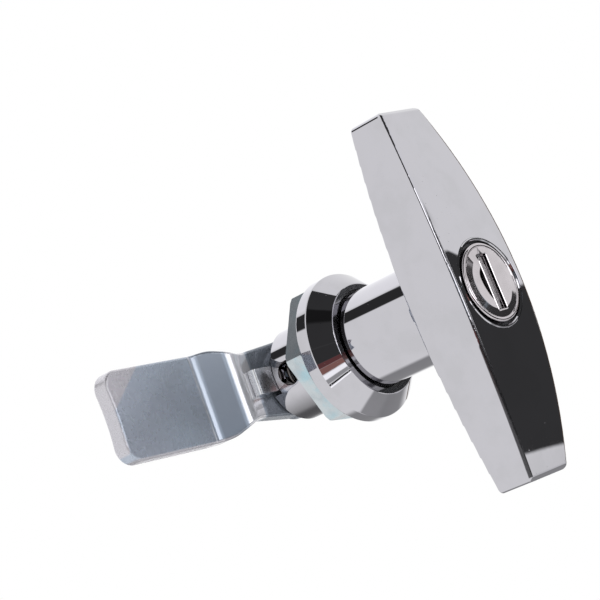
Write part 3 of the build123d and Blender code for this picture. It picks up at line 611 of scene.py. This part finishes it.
def studio_world():
    """An even pale studio for reflections and light, with darker and brighter areas where a room
    has them, each a soft-edged box in azimuth and elevation; the camera sees plain white."""
    world = bpy.data.worlds.new("studio")
    bpy.context.scene.world = world
    world.use_nodes = True
    tree = world.node_tree
    tree.nodes.clear()

    def node(kind, *values):
        made = tree.nodes.new(kind)
        for socket, value in zip(made.inputs, values):
            if isinstance(value, bpy.types.NodeSocket):
                tree.links.new(value, socket)
            else:
                socket.default_value = value
        return made

    def maths(operation, *values):
        made = node("ShaderNodeMath", *values)
        made.operation = operation
        return made.outputs[0]

    def ramp(angle, start, end, from_level, to_level):
        made = node("ShaderNodeMapRange", angle, start, end, from_level, to_level)
        made.interpolation_type = "SMOOTHSTEP"
        return made.outputs[0]

    direction = tree.nodes.new("ShaderNodeTexCoord").outputs["Generated"]
    x, y, z = node("ShaderNodeSeparateXYZ", direction).outputs
    degrees = 180 / math.pi
    azimuth = maths("MULTIPLY", maths("ARCTAN2", y, x), degrees)
    elevation = maths("MULTIPLY", maths("ARCSINE", z), degrees)

    def above(slanted):
        """Elevation over a slanted edge."""
        first, first_height, second, second_height = slanted
        edge = node("ShaderNodeMapRange", azimuth, first, second, first_height, second_height)
        return maths("SUBTRACT", elevation, edge.outputs[0])

    def within(angle, low, high, soft):
        """1 between low and high, falling smoothly to 0 over `soft` degrees outside."""
        if isinstance(low, tuple):
            rise = ramp(above(low), -soft, 0.0, 0.0, 1.0)
            fall = ramp(above(high), 0.0, soft, 1.0, 0.0)
        else:
            rise = ramp(angle, low - soft, low, 0.0, 1.0)
            fall = ramp(angle, high, high + soft, 1.0, 0.0)
        return maths("MULTIPLY", rise, fall)

    colour = (*STUDIO_PALE, 1.0)
    for *across, low, high, soft, level in STUDIO_AREAS:
        share = maths("MULTIPLY", within(azimuth, *across), within(elevation, low, high, soft))
        mix = tree.nodes.new("ShaderNodeMix")
        mix.data_type = "RGBA"
        factor, under, over = mix.inputs[0], mix.inputs[6], mix.inputs[7]
        tree.links.new(share, factor)
        if isinstance(colour, tuple):
            under.default_value = colour
        else:
            tree.links.new(colour, under)
        over.default_value = (*level, 1.0)
        colour = mix.outputs[2]
    light = node("ShaderNodeBackground", colour).outputs[0]
    white = node("ShaderNodeBackground", (1.0, 1.0, 1.0, 1.0)).outputs[0]
    seen = tree.nodes.new("ShaderNodeLightPath").outputs["Is Camera Ray"]
    chosen = node("ShaderNodeMixShader", seen, light, white).outputs[0]
    node("ShaderNodeOutputWorld", chosen)


studio_world()


def pale_floor():
    """A pale floor well under the lock; near it the floor takes the lock's shadow, further out it
    fades to plain white."""
    floor_z, reach, pale = -0.12, 1.6, (0.93, 0.93, 0.93)
    fade_start, fade_end = 0.16, 0.5
    corners = [(-reach, -reach), (reach, -reach), (reach, reach), (-reach, reach)]
    mesh = bpy.data.meshes.new("floor")
    mesh.from_pydata([(x, y, floor_z) for x, y in corners], [], [(0, 1, 2, 3)])
    floor = bpy.data.objects.new("floor", mesh)
    bpy.context.scene.collection.objects.link(floor)
    f = Finish("floor_pale", metallic=0.0)
    f.set(Base_Color=pale, Roughness=0.9)
    length = f.tree.nodes.new("ShaderNodeVectorMath")
    length.operation = "LENGTH"
    f.tree.links.new(f.coords, length.inputs[0])
    far = f.ranged(length.outputs["Value"], fade_start, fade_end)
    seen = f.product(far, f.tree.nodes.new("ShaderNodeLightPath").outputs["Is Camera Ray"])
    white = f.tree.nodes.new("ShaderNodeEmission")
    mix = f.tree.nodes.new("ShaderNodeMixShader")
    for value, socket in zip((seen, f.shader.outputs[0], white.outputs[0]), mix.inputs):
        f.wire(value, socket)
    f.wire(mix.outputs[0], f.tree.nodes["Material Output"].inputs["Surface"])
    mesh.materials.append(f.material)
    floor.visible_glossy = False


pale_floor()


def towards(azimuth, elevation):
    """The unit vector of a direction in the row frame, from degrees."""
    a, e = math.radians(azimuth), math.radians(elevation)
    return Vector((math.cos(e) * math.cos(a), math.cos(e) * math.sin(a), math.sin(e)))


def lamp(name, azimuth, elevation, distance, size, power):
    """A square soft lamp that looks at the lock from a direction in the row frame."""
    data = bpy.data.lights.new(name, "AREA")
    data.size, data.energy = size, power
    placed = bpy.data.objects.new(name, data)
    placed.visible_glossy = False
    bpy.context.scene.collection.objects.link(placed)
    placed.location = towards(azimuth, elevation) * distance
    placed.rotation_euler = (-placed.location).to_track_quat("-Z", "Y").to_euler()


lamp("soft_top", azimuth=62, elevation=38, distance=0.9, size=0.45, power=1.6)


def photo_camera(place, azimuth, elevation, roll, lens):
    """The photograph's camera: it stands at `place` and is turned so that its back points along an
    azimuth and elevation (degrees), then rolled about its line of sight."""
    data = bpy.data.cameras.new("camera")
    data.lens, data.sensor_width = lens, 36.0
    data.clip_start, data.clip_end = 0.01, 20.0
    camera = bpy.data.objects.new("camera", data)
    bpy.context.scene.collection.objects.link(camera)
    turn = (Matrix.Rotation(math.radians(azimuth + 90), 4, "Z")
            @ Matrix.Rotation(math.radians(90 - elevation), 4, "X")
            @ Matrix.Rotation(math.radians(roll), 4, "Z"))
    camera.matrix_world = Matrix.Translation(place) @ turn
    bpy.context.scene.camera = camera


photo_camera(place=(-0.32985, -0.25739, -0.03290), azimuth=-141.335, elevation=-6.149,
             roll=-22.128, lens=134.93)
bpy.context.scene.view_settings.view_transform = "Standard"
